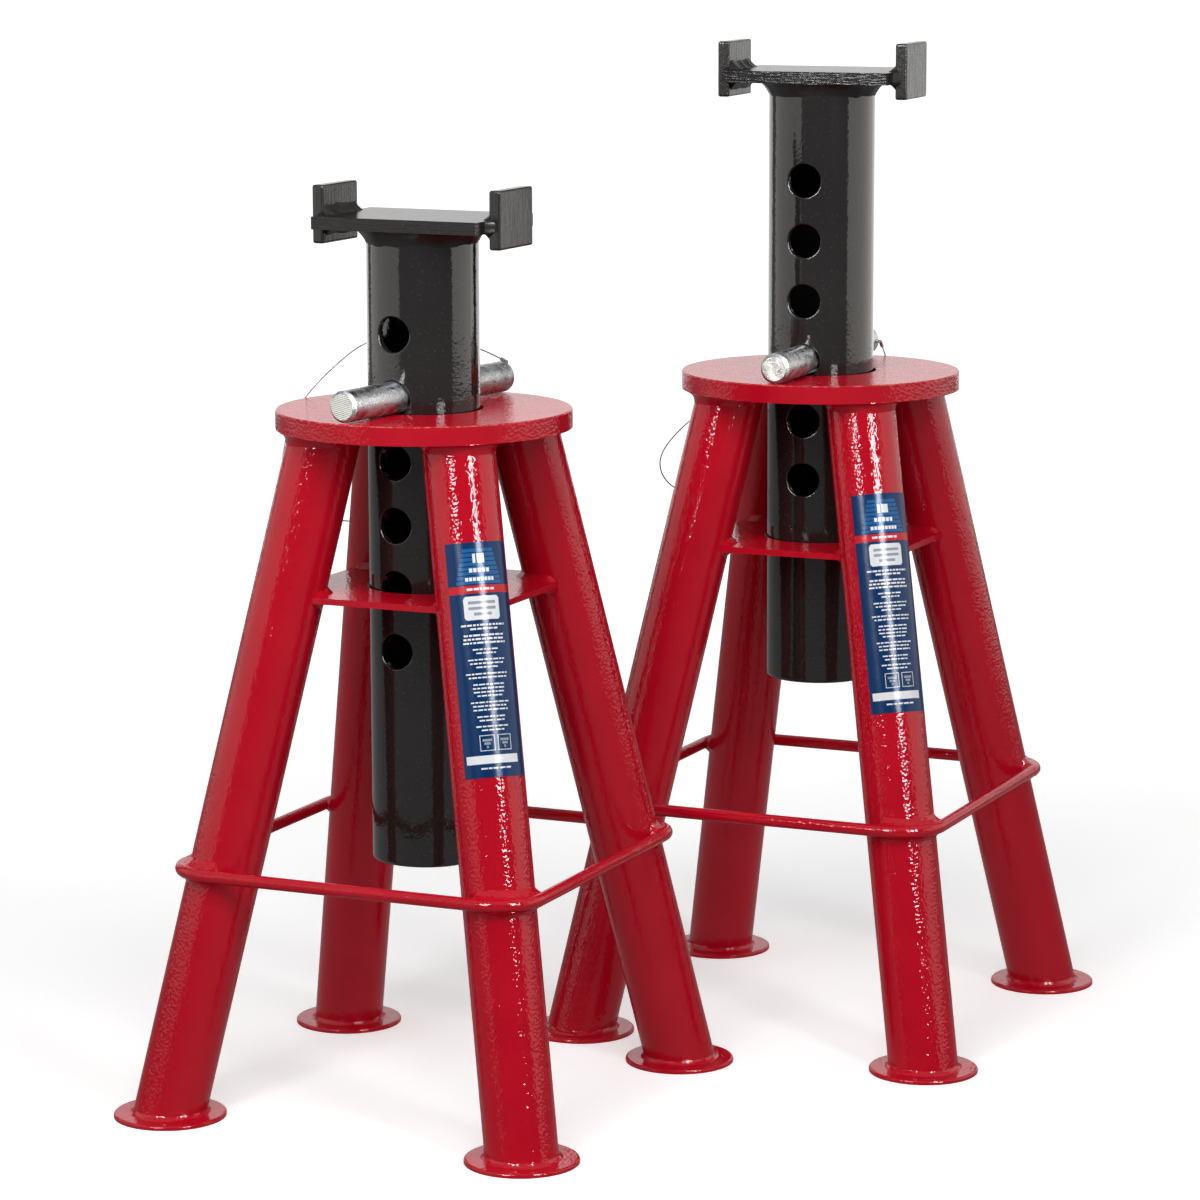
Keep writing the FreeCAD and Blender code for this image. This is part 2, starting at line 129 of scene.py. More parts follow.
class Nodes:
    """A node tree, with a short method for each kind of node it needs."""

    def __init__(self, tree):
        self.tree = tree

    def node(self, kind, **settings):
        made = self.tree.nodes.new("ShaderNode" + kind)
        for name, value in settings.items():
            setattr(made, name, value)
        return made

    def feed(self, socket, value):
        """Link a socket to another, or set its value."""
        if isinstance(value, bpy.types.NodeSocket):
            self.tree.links.new(value, socket)
        else:
            socket.default_value = value

    def math(self, operation, first, second=0.0):
        made = self.node("Math", operation=operation)
        self.feed(made.inputs[0], first)
        self.feed(made.inputs[1], second)
        return made.outputs["Value"]

    def along(self, vector, way):
        """How far a vector reaches along a fixed direction."""
        made = self.node("VectorMath", operation="DOT_PRODUCT")
        self.feed(made.inputs[0], vector)
        made.inputs[1].default_value = way
        return made.outputs["Value"]

    def spread(self, value, low, high, to_low=0.0, to_high=1.0):
        """A value's range from low to high, stretched to another range and held there."""
        made = self.node("MapRange")
        for socket, number in zip(made.inputs, (value, low, high, to_low, to_high)):
            self.feed(socket, number)
        return made.outputs["Result"]

    def profile(self, value, points):
        """A value turned into another by straight lines between points."""
        low, high = points[0][0], points[-1][0]
        peak = max(level for _, level in points)
        ramp = self.node("ValToRGB")
        self.feed(ramp.inputs["Fac"], self.spread(value, low, high))
        stops = ramp.color_ramp.elements
        for place, _ in points[1:-1]:
            stops.new((place - low) / (high - low))
        for stop, (_, level) in zip(stops, points):
            stop.color = [level / peak] * 3 + [1]
        return self.math("MULTIPLY", ramp.outputs["Color"], peak)

    def mix(self, share, first, second):
        """The first colour, with a share of the second in its place."""
        made = self.node("Mix", data_type="RGBA")
        colour_sockets = [item for item in made.inputs if item.type == "RGBA"]
        self.feed(made.inputs["Factor"], share)
        for socket, colour in zip(colour_sockets, (first, second)):
            self.feed(socket, colour)
        return next(item for item in made.outputs if item.type == "RGBA")


class Shader(Nodes):
    """A material made of one Principled BSDF, with the textures that feed it."""

    def __init__(self, name, **surface):
        self.material = bpy.data.materials.new(name)
        self.material.use_nodes = True
        super().__init__(self.material.node_tree)
        self.surface = self.tree.nodes["Principled BSDF"]
        for socket, value in surface.items():
            self.surface.inputs[socket.replace("_", " ")].default_value = value
        self.place = self.node("TexCoord").outputs["Object"]

    def noise(self, scale, detail, place=None):
        """Soft random blotches, scale of them to the metre, with finer ones laid over them."""
        made = self.node("TexNoise")
        self.feed(made.inputs["Vector"], place or self.place)
        made.inputs["Scale"].default_value = scale
        made.inputs["Detail"].default_value = detail
        return made.outputs["Fac"]

    def stretched(self, x, y, z):
        """The place, scaled along each axis, for a grain that runs one way."""
        made = self.node("Mapping")
        self.feed(made.inputs["Vector"], self.place)
        made.inputs["Scale"].default_value = (x, y, z)
        return made.outputs["Vector"]

    def bump(self, height, distance, under=None):
        """A bent normal, as if the surface rose by a height times a distance in metres."""
        made = self.node("Bump")
        made.inputs["Distance"].default_value = distance
        self.feed(made.inputs["Height"], height)
        if under is not None:
            self.feed(made.inputs["Normal"], under)
        return made.outputs["Normal"]

    def rim_wear_and_highlight(self, centre, radius, top):
        """Where paint has chipped off a round plate's upper rim, in short stretches, with a
        painted highlight where the rounded rim catches the light.
        """
        offset = self.node("VectorMath", operation="SUBTRACT")
        self.feed(offset.inputs[0], self.place)
        offset.inputs[1].default_value = (centre.x, centre.y, 0)
        level = self.node("VectorMath", operation="MULTIPLY")
        self.feed(level.inputs[0], offset.outputs["Vector"])
        level.inputs[1].default_value = (1, 1, 0)
        reach = self.node("VectorMath", operation="LENGTH")
        self.feed(reach.inputs[0], level.outputs["Vector"])
        outer = self.spread(reach.outputs["Value"], radius - 1.2 * MM, radius - 0.4 * MM)
        upper = self.spread(self.along(self.place, UP), top - 1.1 * MM, top - 0.5 * MM)
        # short lighter stretches along the rim: part chipped paint, part painted highlight of the
        # rounded edge
        chips_and_glints = self.spread(self.noise(260, 5), 0.44, 0.66)
        return self.math("MULTIPLY", self.math("MULTIPLY", outer, upper), chips_and_glints)

    def set(self, **sockets):
        """Feed the surface's sockets and give the finished material."""
        for name, value in sockets.items():
            self.feed(self.surface.inputs[name.replace("_", " ")], value)
        return self.material


LEG_RIPPLE = 0.20 * MM      # how far the paint's slow waves rise
PLATE_RIPPLE = 0.28 * MM


def red_paint(name, ripple=LEG_RIPPLE, rim=None):
    """Thick gloss powder coat: orange peel over a slightly uneven red, worn at a rim, with a
    painted highlight along that rim.
    """
    paint = Shader(name, Roughness=0.5, Specular_IOR_Level=0.0, Coat_Weight=0.6,
                   Coat_Roughness=0.05)
    blotch = paint.spread(paint.noise(22, 3), 0.3, 0.7)
    colour = paint.mix(blotch, (0.515, 0.0030, 0.0165, 1), (0.565, 0.0048, 0.0200, 1))
    if rim is not None:
        # a lighter colour at the rim: chipped paint, and a painted highlight of the rounded edge
        colour = paint.mix(paint.rim_wear_and_highlight(*rim), colour, (0.66, 0.22, 0.19, 1))
    soft = paint.bump(paint.noise(60, 2), ripple)
    peel = paint.bump(paint.noise(470, 0), 0.00029, under=soft)
    return paint.set(Base_Color=colour, Coat_Normal=peel)


def black_paint(name, coat=1.0, coat_roughness=0.06, grain=None):
    """Gloss black with a soft peel, a little dust and pale specks, over rolled or sawn steel."""
    paint = Shader(name, Roughness=0.5, Specular_IOR_Level=0.0, Coat_Weight=coat,
                   Coat_Roughness=coat_roughness)
    dust = paint.spread(paint.noise(460, 2), 0.63, 0.75, 0, 0.05)
    haze = paint.spread(paint.noise(14, 4), 0.35, 0.75, 0, 0.010)
    colour = paint.mix(paint.math("ADD", dust, haze), (0.0150, 0.0135, 0.0132, 1),
                       (0.45, 0.44, 0.42, 1))
    soft = paint.bump(paint.noise(45, 1), 0.00018)
    if grain is not None:
        soft = paint.bump(paint.noise(1, 2, paint.stretched(*grain)), 0.00022, under=soft)
    peel = paint.bump(paint.noise(380, 1.5), 0.00010, under=soft)
    return paint.set(Base_Color=colour, Coat_Normal=peel)


SAW_PITCH = 1.5 * MM        # from one of the saw's lines to the next


def zinc(letter, sawn):
    """Zinc plate with a coarse bright flake, and the saw's lines on a cut end."""
    metal = Shader(f"zinc_plate_{letter}", Metallic=1.0)
    joints = {joint["name"]: joint for joint in frame["record"]["behaviour"]["joints"]}
    axis = Vector(joints[f"pin_pull_{letter}"]["axis"])
    normal = metal.node("NewGeometry").outputs["Normal"]
    facing = metal.math("ABSOLUTE", metal.along(normal, axis))
    end = metal.spread(facing, 0.90, 0.97)
    across = (UP * 0.95 + UP.cross(axis) * 0.31).normalized()
    turns = metal.math("MULTIPLY", metal.along(metal.place, across), 2 * math.pi / SAW_PITCH)
    lines = metal.math("MULTIPLY", metal.math("SINE", turns), metal.math("MULTIPLY", end, sawn))
    flake = metal.spread(metal.noise(900, 1), 0.34, 0.66)
    plate = metal.mix(flake, (0.28, 0.29, 0.30, 1), (0.62, 0.64, 0.66, 1))
    colour = metal.mix(end, plate, (0.70, 0.72, 0.68, 1))
    patchy = metal.spread(metal.noise(120, 2), 0.35, 0.65, 0.24, 0.46)
    pits = metal.bump(metal.noise(900, 0.5), 0.00015)
    grooves = metal.bump(lines, 0.00010, under=pits)
    return metal.set(Base_Color=colour, Roughness=patchy, Normal=grooves)


def steel_wire():
    """Bright drawn steel, for the lanyards and their crimped sleeves."""
    metal = Shader("bright_wire", Metallic=1.0, Roughness=0.45)
    tone = metal.spread(metal.noise(700, 2), 0.3, 0.7)
    return metal.set(Base_Color=metal.mix(tone, (0.26, 0.25, 0.23, 1), (0.44, 0.43, 0.40, 1)))


def film(name, colour):
    """Printed plastic film with a gloss laminate."""
    sheet = Shader(name, Roughness=0.30, Specular_IOR_Level=0.0, Coat_Weight=0.45,
                   Coat_Roughness=0.20)
    tone = sheet.spread(sheet.noise(900, 2), 0.3, 0.7, 0.9, 1.1)
    pale = [min(1.0, channel * 1.12) for channel in colour]
    mixed = sheet.mix(tone, (*colour, 1), (*pale, 1))
    return sheet.set(Base_Color=mixed, Coat_Normal=sheet.bump(sheet.noise(90, 1), 0.00010))


RED = red_paint("red_powder_coat")
BLACK = black_paint("black_gloss_paint")
# Rolled plate has long level streaks, and a sawn face upright lines: scale along x, y and z.
ROLLED = black_paint("black_paint_on_rolled_plate", 0.6, 0.16, (70, 70, 900))
WELDED = black_paint("black_paint_on_weld", 0.5, 0.28)
SAWN = black_paint("black_paint_on_sawn_plate", 0.9, 0.20, (700, 700, 25))
WIRE = steel_wire()
PRINT = {"ground": film("label_ground", (0.000, 0.030, 0.115)),
         "pale_blue": film("label_pale_blue", (0.012, 0.11, 0.30)),
         "red": film("label_red", (0.56, 0.012, 0.024)),
         "white": film("label_white", (0.78, 0.80, 0.82)),
         "grey": film("label_grey", (0.30, 0.33, 0.38))}


def top_plate_paint(letter):
    low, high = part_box(f"top_plate_{letter}")
    rim = ((low + high) / 2, (high.x - low.x) / 2, high.z)
    return red_paint(f"red_plate_paint_{letter}", PLATE_RIPPLE, rim)


def paint_node(node, material):
    mesh = frame["nodes"][node].data
    mesh.materials.clear()
    mesh.materials.append(material)


NODE_MATERIALS = {"post_tube": BLACK, "saddle_plate": ROLLED, "saddle_ear_left": SAWN,
                  "saddle_ear_right": SAWN, "pin_crimp": WIRE, "lug_crimp": WIRE}
for name in frame["nodes"]:
    paint_node(name, NODE_MATERIALS.get(name[:-2], RED))
SAW_MARKS = {"a": 1.0, "b": 0.15}      # how plainly the saw's lines show on each pin's end
for letter, sawn in SAW_MARKS.items():
    paint_node(f"top_plate_{letter}", top_plate_paint(letter))
    paint_node(f"locking_pin_{letter}", zinc(letter, sawn))


# ---- mesh helpers -------------------------------------------------------------------------

SHARP = math.radians(38)    # faces that meet at more than this keep a crisp edge
LUMPS, FINE_LUMPS = 80, 230     # a weld bead's lumps to the metre


def new_piece(name, rings_list, material, body=None, closed=False):
    """One mesh of several tubes, each a list of rings of points, capped where they are open."""
    work = bmesh.new()
    for rings in rings_list:
        rows = [[work.verts.new(point) for point in ring] for ring in rings]
        pairs = list(zip(rows, rows[1:])) + ([(rows[-1], rows[0])] if closed else [])
        for row, following in pairs:
            for i in range(len(row)):
                j = (i + 1) % len(row)
                work.faces.new((row[i], row[j], following[j], following[i]))
        if not closed:
            work.faces.new(reversed(rows[0]))
            work.faces.new(rows[-1])
    bmesh.ops.recalc_face_normals(work, faces=work.faces)
    for face in work.faces:
        face.smooth = True
    for edge in work.edges:
        edge.smooth = edge.calc_face_angle(0) < SHARP
    mesh = bpy.data.meshes.new(name)
    work.to_mesh(mesh)
    work.free()
    mesh.materials.append(material)
    piece = bpy.data.objects.new(name, mesh)
    bpy.context.scene.collection.objects.link(piece)
    if body is not None:
        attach(piece, body)
    return piece


def fillet_section(reach_u, reach_v, hollow=0.3, sink=0.5 * MM, steps=6):
    """A fillet weld's section: a hollow curve between two surfaces, let into their corner."""
    curve = []
    for i in range(steps + 1):
        t = i / steps
        bend = 2 * t * (1 - t) * hollow
        curve.append((reach_u * ((1 - t) ** 2 + bend), reach_v * (t ** 2 + bend)))
    return curve + [(-sink, reach_v), (-sink, -sink), (reach_u, -sink)]


def bead(rail, section, lump, taper=False):
    """Rings of a weld bead along a rail of (corner, u, v), uneven along its length."""
    rings = []
    for i, (corner, u, v) in enumerate(rail):
        coarse, fine = noise.noise(corner * LUMPS), noise.noise(corner * FINE_LUMPS)
        swell = 1 + lump * coarse + 0.4 * lump * fine
        if taper:
            steps_in = min(i, len(rail) - 1 - i)
            swell *= min(1.0, 0.30 + 0.25 * steps_in)
        rings.append([corner + u * (a * swell) + v * (b * swell) for a, b in section])
    return rings


# ---- weld beads ---------------------------------------------------------------------------

ROUND_STEPS = 96            # places along a bead that runs all the way round


def leg_rail(leg, height, downward, turns):
    """A rail where a leg meets a level plate: outward along the plate, and along the leg."""
    rail = []
    for turn in turns:
        radial = leg.radial(turn)
        outward = Vector((radial.x, radial.y, 0)).normalized()
        rail.append((leg.skin(turn, height), outward, -leg.along if downward else leg.along))
    return rail


def turns_between(first, last, count):
    return [first + (last - first) * i / (count - 1) for i in range(count)]


FULL_TURN = [2 * math.pi * i / ROUND_STEPS for i in range(ROUND_STEPS)]
COLLAR_REACH = 7.5 * MM     # how far the weld under the top plate spreads from the leg
BORE_RADIUS = 47 * MM       # the top plate's bore, which the post slides through
BORE_MARGIN = 0.6 * MM
COLLAR_SWELL = 1.12         # the most that the bead's unevenness makes of its reach


def clear_of_bore(rail, axis):
    """The same rail, with its outward reach cut short where it would enter the bore."""
    kept = []
    for corner, outward, rise in rail:
        spot = corner - axis
        room = math.hypot(spot.x, spot.y) - BORE_RADIUS - BORE_MARGIN
        kept.append((corner, outward * min(1.0, room / (COLLAR_SWELL * COLLAR_REACH)), rise))
    return kept


def collars(letter):
    """The flared weld under the top plate, and the smaller one over each foot."""
    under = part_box(f"top_plate_{letter}")[0].z
    upper, lower = [], []
    for side in OUTWARD:
        leg = LEGS[letter, side]
        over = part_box(f"foot_{side}_{letter}")[1].z
        rail = clear_of_bore(leg_rail(leg, under, True, FULL_TURN), stand_axis(letter))
        upper.append(bead(rail, fillet_section(COLLAR_REACH, 9 * MM, 0.22), 0.08))
        lower.append(bead(leg_rail(leg, over, False, FULL_TURN),
                          fillet_section(3 * MM, 3.5 * MM, 0.3), 0.15))
    new_piece(f"collar_welds_{letter}", upper, RED, f"frame_{letter}", closed=True)
    new_piece(f"foot_welds_{letter}", lower, RED, f"frame_{letter}", closed=True)


def guide_welds(letter):
    """Beads above and below the guide plate, round the inner side of each leg."""
    low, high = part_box(f"guide_plate_{letter}")
    inner_half = math.radians(64)
    turns = turns_between(math.pi - inner_half, math.pi + inner_half, 34)
    rings = []
    section = fillet_section(5.5 * MM, 5 * MM, 0.42)
    for side in OUTWARD:
        leg = LEGS[letter, side]
        rings.append(bead(leg_rail(leg, high.z, False, turns), section, 0.3, True))
        rings.append(bead(leg_rail(leg, low.z, True, turns), section, 0.3, True))
    new_piece(f"guide_welds_{letter}", rings, RED, f"frame_{letter}")


def ring_welds(letter):
    """Webs of weld between the brace ring's bar and each leg, above and below the bar."""
    low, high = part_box(f"brace_ring_{letter}")
    level, bar = (low.z + high.z) / 2, (high.z - low.z) / 2
    outer_half = math.radians(62)
    turns = turns_between(-outer_half, outer_half, 40)
    gap = 6.6 * MM
    top = [(gap, bar * 0.92), (gap * 0.62, bar * 1.12), (gap * 0.28, bar * 1.5), (0, bar * 2.0)]
    back = [(-0.6 * MM, bar * 2.0), (-0.6 * MM, -bar * 2.0)]
    section = top + back + [(u, -v) for u, v in reversed(top)]
    rings = []
    for side in OUTWARD:
        rail = leg_rail(LEGS[letter, side], level, False, turns)
        rings.append(bead(rail, section, 0.2, True))
    new_piece(f"ring_welds_{letter}", rings, RED, f"frame_{letter}")


def lug_weld(letter):
    """A small bead round the lanyard lug's foot on the back leg."""
    low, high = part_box(f"lanyard_lug_{letter}")
    leg = LEGS[letter, "back"]
    centre = (low + high) / 2
    half_wide, half_tall = (high.x - low.x) / 2, (high.z - low.z) / 2
    rail = []
    for i in range(40):
        turn = 2 * math.pi * i / 40
        side = leg.across * (math.cos(turn) * (half_wide + 0.3 * MM))
        rise = UP * (math.sin(turn) * half_tall)
        level = leg.at_height(centre.z + rise.z)
        corner = level + side + leg.out * (leg.radius / math.cos(leg.slant))
        away = (side / half_wide + rise / half_tall).normalized()
        rail.append((corner, away, leg.face))
    section = fillet_section(2.6 * MM, 2.4 * MM, 0.4, 1.2 * MM)
    new_piece(f"lug_weld_{letter}", [bead(rail, section, 0.2)], RED,
              f"frame_{letter}", closed=True)


EAR_THICK = 10 * MM
SADDLE_DEPTH = 100 * MM
EAR_DEPTH = 58 * MM


class Saddle:
    """The saddle's directions and sizes: along its length, across it, and its levels."""

    def __init__(self, letter):
        ears = [middle(f"saddle_ear_{side}_{letter}") for side in ("left", "right")]
        self.centre = (ears[0] + ears[1]) / 2
        self.along = (ears[1] - ears[0]).normalized()
        self.across = UP.cross(self.along)
        low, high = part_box(f"saddle_plate_{letter}")
        self.bottom, self.top = low.z, high.z
        self.half_length = ((ears[1] - ears[0]).length - EAR_THICK) / 2
        self.half_depth = SADDLE_DEPTH / 2
        self.ear_half_depth = EAR_DEPTH / 2

    def at(self, along, across, height):
        spot = self.centre + self.along * along + self.across * across
        return Vector((spot.x, spot.y, height))


def saddle_welds(letter):
    """The bead round the top of the post, and those that hold the two ears."""
    saddle = Saddle(letter)
    low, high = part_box(f"post_tube_{letter}")
    radius = (high.x - low.x) / 2
    centre = (low + high) / 2
    wide, deep = 9 * MM, 11 * MM
    rail = []
    for turn in FULL_TURN:
        outward = saddle.along * math.cos(turn) + saddle.across * math.sin(turn)
        room = saddle.half_depth / max(abs(math.sin(turn)), 0.5) - radius - 0.6 * MM
        share = (wide ** -4 + room ** -4) ** -0.25 / wide
        corner = Vector((centre.x, centre.y, saddle.bottom)) + outward * radius
        rail.append((corner, outward * share, -UP))
    rings = bead(rail, fillet_section(wide, deep, 0.34), 0.2)
    new_piece(f"post_weld_{letter}", [rings], WELDED, f"post_{letter}",
              closed=True)

    beads = []
    section = fillet_section(7.5 * MM, 7 * MM, 0.34)
    side_section = fillet_section(6.5 * MM, 6 * MM, 0.45)
    steps = turns_between(-1, 1, 40)
    for way in (-1, 1):
        end = way * saddle.half_length
        for level, rise in ((saddle.top, UP), (saddle.bottom, -UP)):
            rail = [(saddle.at(end, s * saddle.ear_half_depth, level), saddle.along * -way, rise)
                    for s in steps]
            beads.append(bead(rail, section, 0.25, True))
        for edge in (-1, 1):
            across = edge * saddle.ear_half_depth
            height = saddle.top - saddle.bottom
            rail = [(saddle.at(end, across, saddle.bottom + height * (0.5 + 0.7 * s)),
                     saddle.across * edge, saddle.along * way) for s in steps[::3]]
            beads.append(bead(rail, side_section, 0.3, True))
    new_piece(f"ear_welds_{letter}", beads, WELDED, f"post_{letter}")


# ---- the labels ---------------------------------------------------------------------------

LABEL_START = 293 * MM      # along the leg from the floor to the label's lower edge
LABEL_HEIGHT = 180 * MM
LABEL_HALF_ARC = math.radians(56)
LABEL_SKIN = 0.3 * MM
LAYER = 0.03 * MM           # how far each layer of print stands out from the one under it
FLAT = 1 * MM               # longest flat stretch round the leg


def patch(leg, left, right, top, bottom, inner, outer):
    """A closed curved patch, sized across the label and down from its top edge."""
    radius = leg.radius + LABEL_SKIN
    count = max(2, math.ceil((right - left) / FLAT) + 1)
    rings = []
    for across in turns_between(left, right, count):
        way = leg.radial(across / radius)
        ring = []
        for lift, down in ((inner, top), (outer, top), (outer, bottom), (inner, bottom)):
            spot = leg.floor + leg.along * (LABEL_START + LABEL_HEIGHT - down)
            ring.append(spot + way * (radius + lift))
        rings.append(ring)
    return rings


class Sheet:
    """One label's print, gathered by colour. Its sizes are in millimetres."""

    def __init__(self, letter):
        self.leg = LEGS[letter, "front"]
        self.random = random.Random(11)
        self.middle = -2.0
        self.patches = {colour: [] for colour in PRINT}

    def block(self, colour, left, right, top, height, layer=1):
        """A block of one colour, placed from the print's middle and the label's top edge."""
        self.patches[colour].append(
            patch(self.leg, (self.middle + left) * MM, (self.middle + right) * MM, top * MM,
                  (top + height) * MM, -0.02 * MM, layer * LAYER))

    def words(self, top, height, length, layer=1, word=(1.6, 5.2), gap=0.8):
        """A line of plain bars, as wide as words, in place of lettering."""
        at = -length / 2
        while at < length / 2 - 1:
            wide = min(self.random.uniform(*word), length / 2 - at)
            self.block("white", at, at + wide, top, height, layer)
            at += wide + gap


# Each paragraph of small print: its first line's distance from the label's top, its lines'
# lengths, and the height of its bars, in millimetres.
PARAGRAPHS = ((62.8, (36, 22), 1.4), (70.6, (33, 34, 35), 1.4), (81.6, (21, 16), 1.1),
              (89.4, (30, 27, 18), 1.1), (100.2, (35, 31), 1.1), (108.4, (25, 26, 25, 20), 1.1),
              (122.0, (31, 28, 28), 1.1), (133.0, (23, 20), 1.1), (140.4, (26, 18), 1.1))
LINE_PITCH = 2.9
STRIPES = 8
PLATE_HALF = 14.5
# The plate's rounded ends: how far each stretch of it is drawn in, its top and its height.
PLATE_STEPS = ((1.5, 41.4, 0.7), (0.6, 42.1, 1.1), (0, 43.2, 14.6), (0.6, 57.8, 1.1),
               (1.5, 58.9, 0.7))


def label(letter):
    """A dark label with generic print: striped panel, band, blank plate, small print, boxes."""
    sheet = Sheet(letter)
    edge = LABEL_HALF_ARC * (sheet.leg.radius + LABEL_SKIN)
    ground = patch(sheet.leg, -edge, edge, 0, LABEL_HEIGHT, -LABEL_SKIN, 0)
    piece = new_piece(f"label_ground_{letter}", [ground], PRINT["ground"],
                      f"frame_{letter}")
    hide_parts(f"rating_label_{letter}")

    for i in range(STRIPES):
        half = 12.5 + 6.5 * i / (STRIPES - 1)
        sheet.block("pale_blue", -half, half, 5 + i * 3.5, 2.6)
    sheet.block("white", -4.6, -2.4, 9, 7, 2)
    sheet.block("white", -1.2, 4.6, 9, 7, 2)
    sheet.words(20, 3.2, 16, 2, (2.4, 2.8), 0.7)
    sheet.words(27, 2.8, 23, 2, (2.2, 2.6), 0.6)
    edge_mm = edge / MM
    sheet.block("red", -edge_mm - sheet.middle, edge_mm - sheet.middle, 33.2, 6.0)
    sheet.words(35.2, 1.8, 22, 2)
    for inset, top, height in PLATE_STEPS:
        sheet.block("white", inset - PLATE_HALF, PLATE_HALF - inset, top, height)
    for top, half in ((45.2, 11), (49.6, 11), (54.0, 7)):
        sheet.block("grey", -half, half, top, 2.2, 2)
    for first, lengths, height in PARAGRAPHS:
        for i, length in enumerate(lengths):
            sheet.words(first + i * LINE_PITCH, height, length)
    line = 0.5
    for left in (-11.3, 2.7):
        right = left + 11.6
        sheet.block("white", left, right, 147.6, line)
        sheet.block("white", left, right, 159.1, line)
        sheet.block("white", left, left + line, 148.1, 11)
        sheet.block("white", right - line, right, 148.1, 11)
        for top, half in ((150.6, 3.6), (153.2, 2.4), (155.8, 0.8)):
            sheet.block("grey", left + 5.8 - half, left + 5.8 + half, top, 1.8)
    sheet.block("white", -23.3, 20.3, 163, 6.4)
    sheet.words(172.3, 1.3, 24)
    for colour, patches in sheet.patches.items():
        if patches:
            new_piece(f"label_{colour}_{letter}", patches, PRINT[colour],
                      f"frame_{letter}")


# ---- the lanyards -------------------------------------------------------------------------

# The wire's route on each stand, in millimetres from the stand's own axis: the part at the
# pin, and the part at the frame. They meet end to end.
ROUTES = {
    "a": {
        "upper": [(87, 63.5, 580.9), (76, 76, 588), (48, 92, 596), (16, 97, 598.5)],
        "lower": [(16, 97, 598.5), (-9.6, 101, 600.5), (-50, 100, 571),
                  (-77, 97, 543), (-91, 91, 508), (-86, 93, 472), (-60, 110, 455),
                  (-30, 130, 446), (-7.5, 141.5, 441.8)],
    },
    "b": {
        "upper": [(89.4, 70.6, 561.2), (97, 77, 549), (108, 92, 527), (96, 113, 510)],
        "lower": [(96, 113, 510), (84, 134, 493), (38, 147, 497), (-6, 147, 499),
                  (-48, 134, 505), (-80, 104, 499), (-110, 91, 476), (-109, 90, 455),
                  (-84, 99, 437), (-56, 115, 431), (-30, 131, 436), (-7.5, 141.5, 440.5)],
    },
}
WIRE_DIAMETER = 1.2 * MM
STRANDS = 6
STRAND_LAY = 9 * MM         # length along the wire in which a strand turns once round it


def smooth_line(points):
    """The points of the smooth curve that a list of control points draws."""
    curve = bpy.data.curves.new("route", "CURVE")
    curve.dimensions = "3D"
    curve.resolution_u = 24
    spline = curve.splines.new("NURBS")
    spline.points.add(len(points) - 1)
    for knot, point in zip(spline.points, points):
        knot.co = (*point, 1)
    spline.order_u = 3
    spline.use_endpoint_u = True
    holder = bpy.data.objects.new("route", curve)
    mesh = bpy.data.meshes.new_from_object(holder)
    line = [vertex.co.copy() for vertex in mesh.vertices]
    bpy.data.objects.remove(holder)
    bpy.data.curves.remove(curve)
    bpy.data.meshes.remove(mesh)
    return line


def twisted_wire(name, line):
    """A tube along a line whose section is lobed, one lobe a strand, and turns as it goes."""
    points_round = STRANDS * 4
    side = (line[1] - line[0]).orthogonal().normalized()
    travelled = 0.0
    rings = []
    for i, point in enumerate(line):
        ahead = line[min(i + 1, len(line) - 1)] - line[max(i - 1, 0)]
        ahead.normalize()
        side = (side - ahead * side.dot(ahead)).normalized()
        other = ahead.cross(side)
        if i:
            travelled += (point - line[i - 1]).length
        twist = 2 * math.pi * travelled / STRAND_LAY
        ring = []
        for k in range(points_round):
            angle = 2 * math.pi * k / points_round + twist
            lobe = abs(math.sin(STRANDS * (angle - twist) / 2))
            reach = WIRE_DIAMETER / 2 * (0.88 + 0.12 * lobe)
            ring.append(point + (side * math.cos(angle) + other * math.sin(angle)) * reach)
        rings.append(ring)
    return new_piece(name, [rings], WIRE)


def lanyard(letter):
    """The wire from the pin's crimp to the frame's lug, in two pieces."""
    axis = stand_axis(letter)
    routes = {part: [axis + Vector(point) * MM for point in points]
              for part, points in ROUTES[letter].items()}
    for part, points in routes.items():
        line = smooth_line(points)
        piece = twisted_wire(f"lanyard_wire_{part}_{letter}", line)
        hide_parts(f"lanyard_{part}_{letter}")
        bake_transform(piece)


# ---- studio -------------------------------------------------------------------------------

# The lens and sensor are in millimetres, the angles in degrees and the place in metres.
CAMERA = {"lens": 129.698, "azimuth": -20.893, "elevation": 9.86, "roll": -0.14,
          "place": Vector((-1.27081, -3.26152, 0.98591))}
SENSOR = 36
SUBJECT = Vector((0, 0, 0.45))


def direction(azimuth, elevation):
    """The way from the object towards an azimuth and elevation, in degrees."""
    a, e = math.radians(azimuth), math.radians(elevation)
    return Vector((math.sin(a) * math.cos(e), -math.cos(a) * math.cos(e), math.sin(e)))


def place_object(name, data):
    placed = bpy.data.objects.new(name, data)
    bpy.context.scene.collection.objects.link(placed)
    return placed


def camera():
    data = bpy.data.cameras.new("camera")
    data.lens = CAMERA["lens"]
    data.sensor_width = SENSOR
    data.clip_end = 200
    seen = place_object("camera", data)
    toward = -direction(CAMERA["azimuth"], CAMERA["elevation"])
    turn = toward.to_track_quat("-Z", "Y").to_matrix()
    roll = Matrix.Rotation(math.radians(CAMERA["roll"]), 3, "Z")
    seen.matrix_world = Matrix.Translation(CAMERA["place"]) @ (turn @ roll).to_4x4()
    bpy.context.scene.camera = seen


def lamp(name, place, aim, width, height, radiance, glossy):
    """A rectangular soft light, seen either by matt surfaces or in the gloss."""
    data = bpy.data.lights.new(name, "AREA")
    data.shape = "RECTANGLE"
    data.size, data.size_y = width, height
    data.energy = radiance * math.pi * width * height
    made = place_object(name, data)
    made.location = place
    made.rotation_mode = "QUATERNION"
    made.rotation_quaternion = (aim - place).to_track_quat("-Z", "Y")
    made.visible_camera = False
    made.visible_glossy = glossy
    made.visible_diffuse = not glossy
    return made


